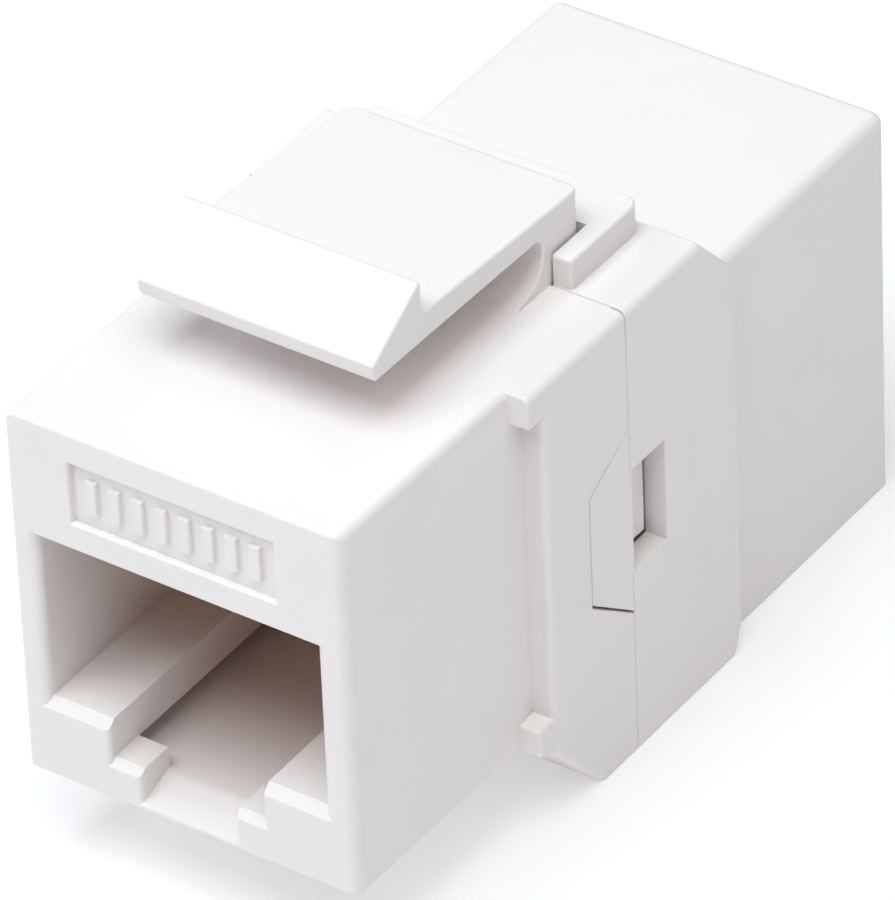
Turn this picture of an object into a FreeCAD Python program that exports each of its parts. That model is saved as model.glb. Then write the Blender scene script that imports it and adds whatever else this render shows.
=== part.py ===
import FreeCAD, Part
import Sketcher
import math
import os

# Inline coupler that snaps into a keystone opening: two eight-way modular
# ports back to back in a two-piece moulded shell.
# Frame: +Z up, the shell stands on its flat underside at Z = 0, the front
# port faces -Y, +X is to the right seen from the front, the origin is under
# the middle of the part.

doc = FreeCAD.newDocument("inline_coupler")
sheet = doc.addObject("Spreadsheet::Sheet", "Sizes")

# Lengths in mm. Depths are measured back from the front face and heights up
# from the underside of the nose.
CELLS = [
    ("overall_length", 35.3),
    ("nose_width", 14.5),
    ("nose_draft", 0.013),
    ("nose_height", 16.1),
    ("nose_lift", 3.9),
    ("wide_width", 16.55),
    ("stop_depth", 10.2),
    ("shoulder_depth", 11.15),
    ("ear_top_height", 1.4),
    ("ear_low_top", 1.05),
    ("ear_low_drop", 0.15),
    ("relief_depth", 10.03),
    ("relief_half", 7.33),
    ("ramp_top_depth", 10.75),
    ("ramp_foot_depth", 14.15),
    ("split_front", 16.465),
    ("split_rear", 16.5),
    ("crest_depth", 21.4),
    ("wide_end", 23.6),
    ("slope_foot", 13.75),
    ("heel_run", 0.5),
    ("heel_rise", 1.25),
    ("rear_width", 14.8),
    ("rear_top", 13.4),
    ("edge_radius", 0.35),
    ("corner_radius", 0.45),
    ("corner_left", 0.1),
    ("fine_radius", 0.12),
    ("brow_radius", 0.15),
    ("low_radius", 0.1),
    ("box_radius", 0.5),
    ("crest_round", 0.2),
    ("seam_round", 0.035),
    ("snap_round", 0.035),
    ("mouth_round", 0.14),
    ("ramp_round", 0.1),
    ("slope_round", 0.28),
    ("panel_round", 0.1),
    ("bar_round", 0.06),
    ("window_round", 0.08),
    # front port, heights from the nose underside
    ("port_shift", -0.16),
    ("port_half", 6.1),
    ("port_top", 10.9),
    ("port_depth", 12.5),
    ("ledge_top", 3.44),
    ("ledge_half", 3.42),
    ("ledge_slope", 0.39),
    ("tab_half", 2.1),
    ("tab_top", 1.75),
    ("tab_depth", 1.8),
    ("tab_slope", 0.31),
    ("post_round", 0.22),
    ("under_half", 5.9),
    ("under_top", 1.72),
    ("floor_height", 0.82),
    ("floor_front", 0.25),
    ("floor_ramp", 1.6),
    ("floor_round", 0.9),
    ("rear_port_drop", 3.2),
    ("face_wall", 1.3),
    ("top_wall", 1.2),
    ("carrier_room", 5.4),
    ("bay_half", 6.2),
    # recessed panel over the front port
    ("panel_half", 4.45),
    ("panel_low", 12.09),
    ("panel_high", 14.77),
    ("panel_cut", 0.28),
    ("bar_width", 0.46),
    ("bar_height", 1.5),
    ("bar_proud", 0.2),
    ("pitch", 1.016),
    # latch
    ("latch_left", 5.22),
    ("latch_right", 5.04),
    ("hinge_depth", 16.95),
    ("hinge_height", 18.66),
    ("knuckle", 0.6),
    ("arm_low_front", 18.42),
    ("arm_top_front", 19.72),
    ("lip_root", 8.9),
    ("lip_depth", 8.4),
    ("lip_top", 21.1),
    ("tip_depth", 5.45),
    ("tip_top", 19.28),
    ("tip_low_depth", 5.6),
    ("tip_low", 18.55),
    ("root_half", 4.95),
    ("root_back", 18.3),
    ("root_front", 16.4),
    ("root_top", 19.15),
    ("root_shelf", 17.72),
    ("root_wall", 17.72),
    # U-shaped wall round the latch root
    ("frame_half", 5.95),
    ("frame_inner", 5.15),
    ("frame_back", 21.1),
    ("frame_top", 17.4),
    ("frame_pocket", 18.75),
    ("frame_round", 0.6),
    # side snaps
    ("tongue_tip", 13.87),
    ("tongue_low_tip", 4.5),
    ("tongue_high_tip", 9.3),
    ("tongue_low_root", 2.55),
    ("tongue_high_root", 10.85),
    ("tongue_inner", 7.3),
    ("snap_gap", 0.05),
    ("seam_depth", 0.1),
    ("seam_mouth", 0.09),
    ("window_back", 18.8),
    ("window_low", 4.34),
    ("window_high", 8.9),
    ("arm_inner", 6.3),
    ("arm_outer", 7.15),
    ("arm_low", 4.75),
    ("arm_high", 8.55),
    ("hook_out", 7.46),
    ("hook_back", 18.45),
    # inserts, board and wires
    ("wire_radius", 0.18),
    ("bore_radius", 0.28),
    ("wire_height", 12.2),
    ("bend_radius", 0.55),
    ("nose_of_insert", 3.0),
    ("insert_back", 16.5),
    ("insert_low", 11.45),
    ("insert_high", 14.7),
    ("insert_half", 5.3),
    ("insert_wall", 12.6),
    ("insert_wall_half", 6.05),
    ("insert_wall_low", 0.5),
    ("rib_width", 0.36),
    ("rib_low", 10.95),
    ("rib_back", 11.5),
    ("spring_angle", 19.0),
    ("spring_length", 7.5),
    ("spring_gap", 0.07),
    ("board_front", 16.9),
    ("board_thick", 1.2),
    ("board_half", 6.0),
    ("board_low", -2.7),
    ("board_high", 13.5),
    ("tail_reach", 0.25),
]


class Q:
    """A length with its number and the sheet formula that gives it."""

    def __init__(self, text, value):
        self.text = text
        self.value = value

    def _with(self, other, sign, value):
        other = as_q(other)
        return Q("(%s %s %s)" % (self.text, sign, other.text), value)

    def __add__(self, other):
        return self._with(other, "+", self.value + as_q(other).value)

    def __sub__(self, other):
        return self._with(other, "-", self.value - as_q(other).value)

    def __mul__(self, other):
        return self._with(other, "*", self.value * as_q(other).value)

    def __truediv__(self, other):
        return self._with(other, "/", self.value / as_q(other).value)

    def __neg__(self):
        return Q("(0 - %s)" % self.text, -self.value)

    def __radd__(self, other):
        return as_q(other) + self

    def __rsub__(self, other):
        return as_q(other) - self

    def __rmul__(self, other):
        return as_q(other) * self


def as_q(v):
    if isinstance(v, Q):
        return v
    return Q("(0 - %.6f)" % -v if v < 0 else "%.6f" % v, float(v))


S = {}
for row, (alias, number) in enumerate(CELLS, start=1):
    sheet.set("A%d" % row, alias)
    sheet.set("B%d" % row, "%g" % number)
    sheet.setAlias("B%d" % row, alias)
    S[alias] = Q("Sizes.%s" % alias, number)
doc.recompute()


def dep(v):
    """Depth behind the front face -> Y."""
    return as_q(v) - S["overall_length"] / 2


def hgt(v):
    """Height over the nose underside -> Z."""
    return as_q(v) + S["nose_lift"]


def dep_rear(v):
    """Depth in from the rear face -> Y."""
    return S["overall_length"] / 2 - as_q(v)


def hgt_rear(v):
    """Height in the rear port, which sits lower than the front one -> Z."""
    return as_q(v) + S["nose_lift"] - S["rear_port_drop"]


def bind(obj, prop, q):
    obj.setExpression(prop, as_q(q).text)


def place(obj, x, y, z, rotation=None):
    x, y, z = as_q(x), as_q(y), as_q(z)
    obj.Placement = FreeCAD.Placement(
        FreeCAD.Vector(x.value, y.value, z.value), rotation or FreeCAD.Rotation()
    )
    bind(obj, "Placement.Base.x", x)
    bind(obj, "Placement.Base.y", y)
    bind(obj, "Placement.Base.z", z)


def box(name, x, y, z):
    """A block from pairs of limits; the pairs may come in either order."""
    lim = []
    for pair in (x, y, z):
        a, b = as_q(pair[0]), as_q(pair[1])
        lim.append((a, b) if a.value < b.value else (b, a))
    o = doc.addObject("Part::Box", name)
    for prop, (a, b) in zip(("Length", "Width", "Height"), lim):
        setattr(o, prop, b.value - a.value)
        bind(o, prop, b - a)
    place(o, lim[0][0], lim[1][0], lim[2][0])
    return o


def fill_sketch(sk, pts, arc=None):
    """A closed outline through pts. arc = (index, cx, cy, radius): the side
    that starts at that point, straight over its centre, is a half turn to the
    right that ends straight under it."""
    n = len(pts)
    pts = [(as_q(a), as_q(b)) for a, b in pts]
    for i in range(n):
        p, q = pts[i], pts[(i + 1) % n]
        if arc and arc[0] == i:
            circle = Part.Circle(FreeCAD.Vector(arc[1].value, arc[2].value, 0), FreeCAD.Vector(0, 0, 1), arc[3].value)
            sk.addGeometry(Part.ArcOfCircle(circle, -math.pi / 2, math.pi / 2), False)
        else:
            a = FreeCAD.Vector(p[0].value, p[1].value, 0)
            b = FreeCAD.Vector(q[0].value, q[1].value, 0)
            sk.addGeometry(Part.LineSegment(a, b), False)
    # an arc runs anticlockwise, so the one here ends at its first point
    ends = [(2, 1) if arc and arc[0] == i else (1, 2) for i in range(n)]
    for i in range(n):
        j = (i + 1) % n
        sk.addConstraint(Sketcher.Constraint("Coincident", i, ends[i][1], j, ends[j][0]))
    for i in range(n):
        g, pos = i, ends[i][0]
        if arc and arc[0] == i:
            g, pos = (i - 1) % n, ends[(i - 1) % n][1]
        for kind, q in (("DistanceX", pts[i][0]), ("DistanceY", pts[i][1])):
            k = sk.addConstraint(Sketcher.Constraint(kind, g, pos, q.value))
            sk.setExpression("Constraints[%d]" % k, q.text)
    if arc:
        k = sk.addConstraint(Sketcher.Constraint("DistanceX", arc[0], 3, arc[1].value))
        sk.setExpression("Constraints[%d]" % k, arc[1].text)


TURN = {
    "YZ": FreeCAD.Rotation(FreeCAD.Vector(1, 1, 1), 120),
    "XZ": FreeCAD.Rotation(FreeCAD.Vector(1, 0, 0), 90),
    "XY": FreeCAD.Rotation(),
}


def prism(name, plane, pts, lo, hi):
    """An outline in a plane, drawn out between two positions square to it."""
    lo, hi = as_q(lo), as_q(hi)
    sk = doc.addObject("Sketcher::SketchObject", name + "_outline")
    fill_sketch(sk, pts)
    if plane == "YZ":
        place(sk, lo, 0, 0, TURN[plane])
    elif plane == "XZ":
        place(sk, 0, hi, 0, TURN[plane])
    else:
        place(sk, 0, 0, lo, TURN[plane])
    e = doc.addObject("Part::Extrusion", name)
    e.Base = sk
    e.DirMode = "Normal"
    e.Solid = True
    e.LengthFwd = hi.value - lo.value
    bind(e, "LengthFwd", hi - lo)
    return e


def rod(name, x, y0, y1, z, r):
    """A round bar along Y."""
    y0, y1 = as_q(y0), as_q(y1)
    if y0.value > y1.value:
        y0, y1 = y1, y0
    o = doc.addObject("Part::Cylinder", name)
    o.Radius = r.value
    o.Height = y1.value - y0.value
    bind(o, "Radius", r)
    bind(o, "Height", y1 - y0)
    place(o, x, y0, z, FreeCAD.Rotation(FreeCAD.Vector(1, 0, 0), -90))
    return o


def fuse(name, parts):
    o = doc.addObject("Part::MultiFuse", name)
    o.Shapes = parts
    o.Refine = True
    return o


def cut(name, base, tools):
    o = doc.addObject("Part::Cut", name)
    o.Base = base
    o.Tool = tools[0] if len(tools) == 1 else fuse(name + "_tools", tools)
    o.Refine = True
    doc.recompute()
    if not o.Shape.Volume < base.Shape.Volume - 1e-6:
        raise RuntimeError(name + " removes nothing")
    return o


def nose_over(name, x, d, z, top, run, high=None):
    """What is cut away to slope the front end of a ledge down to the face."""
    top, run = as_q(top), as_q(run)
    high = top + 0.4 if high is None else high
    lo, hi = as_q(x[0]), as_q(x[1])
    if lo.value > hi.value:
        lo, hi = hi, lo
    return prism(
        name,
        "YZ",
        [
            (d(-1), z(top - run)),
            (d(0), z(top - run)),
            (d(run), z(top)),
            (d(run), z(high)),
            (d(-1), z(high)),
        ],
        lo,
        hi,
    )


def both(name, a, b):
    """What two solids share."""
    o = doc.addObject("Part::Common", name)
    o.Base = a
    o.Tool = b
    return o


def upright(name, x, y, low, high, r):
    """A round bar along Z."""
    c = doc.addObject("Part::Cylinder", name)
    low, high = as_q(low), as_q(high)
    c.Radius = r.value
    c.Height = high.value - low.value
    bind(c, "Radius", r)
    bind(c, "Height", high - low)
    place(c, x, y, low)
    return c


def mouth(name, mid, d, z):
    """What is cut away to open the mouth of a port: its outline is let out
    towards the face along a quarter round at the sides and under the upper
    edge, and along a slope over the ledges."""
    r, t = S["ledge_slope"], S["mouth_round"]
    far = S["port_half"] + r
    low, high = S["ledge_top"] - r, S["port_top"] + t
    wide = (mid - far, mid + far)
    sides = doc.addObject("Part::Cut", name + "_sides")
    sides.Base = box(name + "_sides_block", wide, (d(-1), d(r)), (z(low), z(high)))
    sides.Tool = fuse(name + "_cheeks", [upright(name + "_cheek_" + tag, mid + far * k, d(r), z(low - 0.5), z(high + 0.5), r) for tag, k in (("left", -1), ("right", 1))])
    ends = nose_over(name + "_ends", wide, d, z, S["ledge_top"], r, high)
    upper = doc.addObject("Part::Cut", name + "_upper")
    upper.Base = box(name + "_upper_block", wide, (d(-1), d(t)), (z(low), z(high)))
    c = doc.addObject("Part::Cylinder", name + "_upper_round")
    c.Radius = t.value
    c.Height = far.value * 2 + 1
    bind(c, "Radius", t)
    bind(c, "Height", far * 2 + 1)
    place(c, mid - far - 0.5, d(t), z(S["port_top"] + t), FreeCAD.Rotation(FreeCAD.Vector(0, 1, 0), 90))
    upper.Tool = c
    behind = box(name + "_behind", wide, (d(t), d(r)), (z(low), z(S["port_top"])))
    return both(name, both(name + "_lower", sides, ends), fuse(name + "_over", [upper, behind]))


def along(edge):
    """The axis that a straight edge runs along, or None."""
    if len(edge.Vertexes) != 2 or edge.Curve.TypeId != "Part::GeomLine":
        return None
    d = edge.Vertexes[1].Point - edge.Vertexes[0].Point
    d.normalize()
    for axis, v in (("X", d.x), ("Y", d.y), ("Z", d.z)):
        if abs(v) > 0.999:
            return axis
    return None


def pick(shape, axis, x=None, y=None, z=None, tol=0.02):
    """Edge numbers along an axis whose middle is at the given place; each
    place is a number, a pair of limits or None for anywhere."""
    out = []
    for i, e in enumerate(shape.Edges, start=1):
        if along(e) != axis:
            continue
        c = e.CenterOfMass
        for got, want in ((c.x, x), (c.y, y), (c.z, z)):
            if want is None:
                continue
            if isinstance(want, tuple):
                if not want[0] - tol <= got <= want[1] + tol:
                    break
            elif abs(got - as_q(want).value) > tol:
                break
        else:
            out.append(i)
    return out


def sloping(shape, x=None, y=None, z=None, tol=0.02):
    """Edge numbers of straight edges along no axis, with both ends inside the
    given limits; x is taken without its sign."""
    out = []
    for i, e in enumerate(shape.Edges, start=1):
        if len(e.Vertexes) != 2 or e.Curve.TypeId != "Part::GeomLine" or along(e):
            continue
        for v in e.Vertexes:
            q = v.Point
            if any(lim and not lim[0] - tol <= got <= lim[1] + tol for got, lim in ((abs(q.x), x), (q.y, y), (q.z, z))):
                break
        else:
            out.append(i)
    return out


def left_of(shape, numbers):
    """Those of the edges that lie left of the middle."""
    return [i for i in numbers if shape.Edges[i - 1].CenterOfMass.x < 0]


def right_of(shape, numbers):
    """Those of the edges that lie right of the middle."""
    return [i for i in numbers if shape.Edges[i - 1].CenterOfMass.x > 0]


def rounded(name, base, picks):
    """Round the picked edges; picks = [(radius, [edge numbers])]."""
    doc.recompute()
    o = doc.addObject("Part::Fillet", name)
    o.Base = base
    edges = []
    for r, numbers in picks:
        if not numbers:
            raise RuntimeError(name + ": no edge found for a radius")
        edges += [(n, as_q(r).value, as_q(r).value) for n in numbers]
    o.Edges = edges
    doc.recompute()
    if o.Shape.isNull() or not o.Shape.isValid():
        raise RuntimeError(name + ": rounding failed")
    return o


def name_part(obj, node):
    obj.Label = node
    PARTS.append(obj)


PARTS = []

# --------------------------------------------------------------------------
# Shared heights and half widths
nose_half = S["nose_width"] / 2
wide_half = S["wide_width"] / 2
rear_half = S["rear_width"] / 2
roof = S["nose_height"] - S["top_wall"]
under = -S["nose_lift"]
ramp_slope = (S["nose_lift"] - S["ear_low_drop"]) / (S["ramp_foot_depth"] - S["ramp_top_depth"])
ramp_at_shoulder = -S["ear_low_drop"] - (S["shoulder_depth"] - S["ramp_top_depth"]) * ramp_slope
y_front, y_back = dep(0).value, dep(S["overall_length"]).value

# --------------------------------------------------------------------------
# Front housing: nose, collar, panel stops and the root of the latch


def nose_at(depth):
    """Half width of the nose, which widens a little towards the collar."""
    return nose_half + as_q(depth) * S["nose_draft"]


nose_end = S["shoulder_depth"] + 0.4
nose = prism(
    "nose_block",
    "XY",
    [
        (-nose_half, dep(0)),
        (nose_half, dep(0)),
        (nose_at(nose_end), dep(nose_end)),
        (-nose_at(nose_end), dep(nose_end)),
    ],
    hgt(0),
    hgt(S["nose_height"]),
)
doc.recompute()
sh = nose.Shape
nose = rounded(
    "nose_rounded",
    nose,
    [
        (S["corner_radius"], pick(sh, "Z", x=nose_half, y=y_front)),
        (S["corner_left"], pick(sh, "Z", x=-nose_half, y=y_front)),
        (S["edge_radius"], pick(sh, "Y", z=hgt(S["nose_height"]))),
        (S["brow_radius"], pick(sh, "X", y=y_front, z=hgt(S["nose_height"]))),
        (S["low_radius"], pick(sh, "Y", z=hgt(0)) + pick(sh, "X", y=y_front, z=hgt(0))),
    ],
)
collar = prism(
    "collar_block",
    "YZ",
    [
        (dep(S["shoulder_depth"]), hgt(S["nose_height"])),
        (dep(S["split_front"]), hgt(S["nose_height"])),
        (dep(S["split_front"]), hgt(under)),
        (dep(S["ramp_foot_depth"]), hgt(under)),
        (dep(S["shoulder_depth"]), hgt(ramp_at_shoulder)),
    ],
    -wide_half,
    wide_half,
)
doc.recompute()
sh = collar.Shape
collar = rounded(
    "collar_rounded",
    collar,
    [
        (S["edge_radius"], right_of(sh, pick(sh, "Y", z=hgt(S["nose_height"])))),
        (S["corner_left"], left_of(sh, pick(sh, "Y", z=hgt(S["nose_height"])))),
        (S["edge_radius"] * 0.8, pick(sh, "Z", y=dep(S["shoulder_depth"]))),
        (S["fine_radius"], pick(sh, "Y", z=hgt(under))),
        (S["slope_round"], sloping(sh)),
    ],
)
doc.recompute()
collar = rounded("collar_seam", collar, [(S["seam_round"], pick(collar.Shape, "X", y=dep(S["split_front"]), z=hgt(S["nose_height"])))])
ears = []
for tag, lo, hi in (
    ("top", S["nose_height"] - S["ear_top_height"], S["nose_height"]),
    ("low", -S["ear_low_drop"], S["ear_low_top"]),
):
    b = box("ear_%s_block" % tag, (-wide_half, wide_half), (dep(S["stop_depth"]), dep(S["shoulder_depth"] + 0.5)), (hgt(lo), hgt(hi)))
    doc.recompute()
    sh = b.Shape
    ears.append(
        rounded(
            "ear_%s" % tag,
            b,
            [
                (S["fine_radius"], pick(sh, "Z", y=dep(S["stop_depth"]))),
                (S["fine_radius"], pick(sh, "X", y=dep(S["stop_depth"]))),
                (S["edge_radius"] * 0.8 if tag == "top" else S["fine_radius"], pick(sh, "Y", z=hgt(hi))),
            ],
        )
    )
root = prism(
    "latch_root",
    "YZ",
    [
        (dep(14.6), hgt(roof)),
        (dep(S["root_back"]), hgt(roof)),
        (dep(S["root_back"]), hgt(S["root_top"])),
        (dep(S["root_wall"]), hgt(S["root_top"])),
        (dep(S["root_wall"]), hgt(S["root_shelf"])),
        (dep(S["root_front"]), hgt(S["root_shelf"])),
        (dep(S["root_front"]), hgt(S["nose_height"] - 0.2)),
        (dep(14.6), hgt(S["nose_height"] - 0.2)),
    ],
    -S["root_half"],
    S["root_half"],
)
front_outer = fuse("front_outer", [nose, collar] + ears + [root])

tools = []
# the port itself, its ledges, tab stops and sloping sill
mid = S["port_shift"]


def around(half):
    """Limits on both sides of the middle of the front port."""
    return (mid - half, mid + half)


tools.append(box("port_space", around(S["port_half"]), (dep(-1), dep(S["port_depth"])), (hgt(S["ledge_top"]), hgt(S["port_top"]))))
tools.append(box("tab_space", around(S["ledge_half"]), (dep(S["tab_depth"]), dep(S["port_depth"])), (hgt(S["floor_height"]), hgt(S["ledge_top"] + 0.1))))
tools.append(box("under_ledges", around(S["under_half"]), (dep(S["tab_depth"]), dep(S["port_depth"])), (hgt(S["floor_height"]), hgt(S["under_top"]))))
tools.append(box("tab_gate", around(S["ledge_half"]), (dep(-1), dep(S["tab_depth"] + 0.1)), (hgt(S["tab_top"]), hgt(S["ledge_top"] + 0.1))))
tools.append(box("tab_slot", around(S["tab_half"]), (dep(-1), dep(S["tab_depth"] + 0.1)), (hgt(S["floor_height"]), hgt(S["tab_top"] + 0.1))))
tools.append(
    prism(
        "sill",
        "YZ",
        [
            (dep(-1), hgt(S["floor_front"] - (S["floor_height"] - S["floor_front"]) / S["floor_ramp"])),
            (dep(S["floor_ramp"]), hgt(S["floor_height"])),
            (dep(S["floor_ramp"]), hgt(S["floor_height"] + 0.2)),
            (dep(-1), hgt(S["floor_height"] + 0.2)),
        ],
        mid - S["tab_half"],
        mid + S["tab_half"],
    )
)
tools.append(mouth("mouth", mid, dep, hgt))
for side in (-1, 1):
    tag = "left" if side < 0 else "right"
    tools.append(nose_over("tab_nose_" + tag, (mid + S["tab_half"] * side, mid + S["ledge_half"] * side), dep, hgt, S["tab_top"], S["tab_slope"]))
    # shallow relief between the panel stops, deepest at the shoulder
    n, d = nose_at(S["relief_depth"]) * side, S["relief_half"] * side
    far = (wide_half + 1) * side
    tools.append(
        prism(
            "relief_" + tag,
            "XY",
            [
                (n, dep(S["relief_depth"])),
                (d, dep(S["shoulder_depth"])),
                (far, dep(S["shoulder_depth"])),
                (far, dep(S["relief_depth"])),
            ],
            hgt(S["ear_low_top"]),
            hgt(S["nose_height"] - S["ear_top_height"]),
        )
    )
    # notch that takes the snap loop of the rear housing
    g = S["snap_gap"]
    lo, hi = ((S["arm_outer"] + 0.05) * side, (wide_half + 1) * side)
    if side < 0:
        lo, hi = hi, lo
    tools.append(
        prism(
            "loop_notch_" + tag,
            "YZ",
            [
                (dep(S["split_front"] + 1), hgt(S["tongue_low_root"] - g * 2.4 - 0.69)),
                (dep(S["tongue_tip"] - g), hgt(S["tongue_low_tip"] - g * 2.4)),
                (dep(S["tongue_tip"] - g), hgt(S["tongue_high_tip"] + g)),
                (dep(S["split_front"] + 1), hgt(S["tongue_high_root"] + g + 0.55)),
            ],
            lo,
            hi,
        )
    )
    lo, hi = (wide_half - 0.6) * side, (wide_half + 1) * side
    if side < 0:
        lo, hi = hi, lo
    tools.append(
        prism(
            "seam_mouth_" + tag,
            "YZ",
            [
                (dep(S["split_front"] + 0.3), hgt(S["nose_height"] + 0.2)),
                (dep(S["split_front"] - S["seam_mouth"]), hgt(S["nose_height"] + 0.2)),
                (dep(S["split_front"]), hgt(S["nose_height"] - 2.1)),
                (dep(S["split_front"] + 0.3), hgt(S["nose_height"] - 2.1)),
            ],
            lo,
            hi,
        )
    )
# room for the insert, open at the back
tools.append(box("insert_room", around(S["carrier_room"]), (dep(S["face_wall"]), dep(S["split_front"] + 0.3)), (hgt(S["port_top"] - 0.1), hgt(roof))))
tools.append(box("rear_bay", around(S["bay_half"]), (dep(S["port_depth"]), dep(S["split_front"] + 0.3)), (hgt(0.4), hgt(roof))))
tools.append(box("heel_core", (-S["bay_half"], S["bay_half"]), (dep(S["ramp_foot_depth"] + 0.25), dep(S["split_front"] + 0.3)), (hgt(-2.8), hgt(0.5))))
# recessed panel over the port
tools.append(box("panel_recess", around(S["panel_half"]), (dep(-1), dep(S["panel_cut"])), (hgt(S["panel_low"]), hgt(S["panel_high"]))))
front_cut = cut("front_cut", front_outer, tools)

adds = [front_cut]
# a row of eight plain raised bars, one for each contact, in the panel
panel_mid = (S["panel_low"] + S["panel_high"]) / 2
for k in range(8):
    x = mid + S["pitch"] * (k - 3.5)
    adds.append(
        box(
            "panel_bar_%d" % (k + 1),
            (x - S["bar_width"] / 2, x + S["bar_width"] / 2),
            (dep(S["panel_cut"] - S["bar_proud"]), dep(S["panel_cut"] + 0.1)),
            (hgt(panel_mid - S["bar_height"] / 2), hgt(panel_mid + S["bar_height"] / 2)),
        )
    )
# snap arms that reach into the rear housing, with their hooks
for side in (-1, 1):
    tag = "left" if side < 0 else "right"
    adds.append(box("snap_arm_" + tag, (S["arm_inner"] * side, S["arm_outer"] * side), (dep(15.4), dep(18.55)), (hgt(S["arm_low"]), hgt(S["arm_high"]))))
    adds.append(
        prism(
            "snap_hook_" + tag,
            "XY",
            [
                ((S["arm_outer"] - 0.2) * side, dep(S["split_rear"] + 0.2)),
                (S["hook_out"] * side, dep(S["split_rear"] + 0.24)),
                (S["hook_out"] * side, dep(S["hook_back"])),
                ((S["hook_out"] - 0.3) * side, dep(18.6)),
                ((S["arm_outer"] - 0.2) * side, dep(18.6)),
            ],
            hgt(S["arm_low"]),
            hgt(S["arm_high"]),
        )
    )
front_whole = fuse("front_whole", adds)
doc.recompute()
sh = front_whole.Shape
posts = [i for h, side in ((S["ledge_half"], -1), (S["tab_half"], -1), (S["tab_half"], 1)) for i in pick(sh, "Z", x=mid + h * side, y=y_front)]
right_post = pick(sh, "Z", x=mid + S["ledge_half"], y=y_front)
front_housing = rounded("front_rounded", front_whole, [(S["post_round"], posts), (S["ramp_round"], right_post)])


def soften(name, base, radius, *finds):
    """Break the edges that each find, a call on the shape so far, gives."""
    doc.recompute()
    return rounded(name, base, [(radius, [i for f in finds for i in f(base.Shape)])])


def tab_back(port, base, d, z):
    """Break the rear upper edges of the tab stops of a port."""
    return soften(port + "_tab_back", base, S["window_round"], lambda s: pick(s, "X", y=d(S["tab_depth"]), z=z(S["tab_top"])))


front_housing = tab_back("front", front_housing, dep, hgt)
front_housing = soften("front_ramp_crest", front_housing, S["floor_round"], lambda s: pick(s, "X", y=dep(S["floor_ramp"]), z=hgt(S["floor_height"])))
front_housing = soften(
    "front_panel_edge", front_housing, S["panel_round"],
    lambda s: pick(s, "X", y=dep(0), z=hgt(S["panel_low"])) + pick(s, "X", y=dep(0), z=hgt(S["panel_high"])),
    *[lambda s, k=k: pick(s, "Z", x=mid + S["panel_half"] * k, y=dep(0)) for k in (-1, 1)],
)
bar_y = dep(S["panel_cut"] - S["bar_proud"])
front_housing = soften("front_bar_edges", front_housing, S["bar_round"], lambda s: pick(s, "X", y=bar_y) + pick(s, "Z", y=bar_y))
front_housing = soften("front_sill", front_housing, S["mouth_round"] * 0.8, lambda s: pick(s, "X", y=dep(0), z=(hgt(0.2).value, hgt(0.6).value)))
front_housing = soften(
    "front_ear_edges", front_housing, S["window_round"],
    *[lambda s, k=k, h=h: pick(s, "Y", x=wide_half * k, z=hgt(h)) for k in (-1, 1) for h in (-S["ear_low_drop"], S["nose_height"] - S["ear_top_height"])],
)
front_housing = soften("front_ramp_edge", front_housing, S["ramp_round"], lambda s: pick(s, "X", y=dep(S["shoulder_depth"]), z=hgt(ramp_at_shoulder)))
limits = (wide_half.value, wide_half.value)
front_housing = soften(
    "front_notch_edges", front_housing, S["snap_round"],
    lambda s: sloping(s, x=limits, y=(dep(13.7).value, dep(S["split_front"]).value), z=(hgt(2).value, hgt(12).value)),
    *[lambda s, k=k: pick(s, "Z", x=wide_half * k, y=(dep(13.7).value, dep(14.2).value)) for k in (-1, 1)],
)
name_part(front_housing, "front_housing")

# --------------------------------------------------------------------------
# Rear housing: collar, rear box, wall round the latch root, snap loops
flange = prism(
    "flange_block",
    "YZ",
    [
        (dep(S["split_rear"]), hgt(under)),
        (dep(S["wide_end"] - S["heel_run"]), hgt(under)),
        (dep(S["wide_end"]), hgt(under + S["heel_rise"])),
        (dep(S["wide_end"]), hgt(S["slope_foot"])),
        (dep(S["crest_depth"]), hgt(S["nose_height"])),
        (dep(S["split_rear"]), hgt(S["nose_height"])),
    ],
    -wide_half,
    wide_half,
)
doc.recompute()
sh = flange.Shape
crown = pick(sh, "Y", z=hgt(S["nose_height"])) + sloping(sh, z=(hgt(S["slope_foot"]).value, hgt(S["nose_height"]).value))
flange = rounded(
    "flange_rounded",
    flange,
    [
        (S["edge_radius"], right_of(sh, crown)),
        (S["corner_left"], left_of(sh, crown)),
        (S["crest_round"], pick(sh, "X", y=dep(S["crest_depth"]))),
        (S["fine_radius"], pick(sh, "Y", z=hgt(under)) + sloping(sh, z=(0, hgt(under + S["heel_rise"]).value)) + pick(sh, "Z", y=dep(S["wide_end"])) + pick(sh, "X", y=dep(S["wide_end"]))),
    ],
)
doc.recompute()
flange = rounded("flange_seam", flange, [(S["seam_round"], pick(flange.Shape, "X", y=dep(S["split_rear"]), z=hgt(S["nose_height"])))])
rear_box = box("rear_block", (-rear_half, rear_half), (dep(20), dep(S["overall_length"])), (hgt(under), hgt(S["rear_top"])))
doc.recompute()
sh = rear_box.Shape
rear_box = rounded(
    "rear_block_rounded",
    rear_box,
    [
        (S["box_radius"], pick(sh, "Y", z=hgt(S["rear_top"])) + pick(sh, "X", y=y_back) + pick(sh, "Z", y=y_back)),
        (S["fine_radius"], pick(sh, "Y", z=hgt(under))),
    ],
)
frame = box("latch_frame_block", (-S["frame_half"], S["frame_half"]), (dep(S["split_rear"] + 0.04), dep(S["frame_back"])), (hgt(S["nose_height"] - 0.3), hgt(S["frame_top"])))
doc.recompute()
sh = frame.Shape
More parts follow.
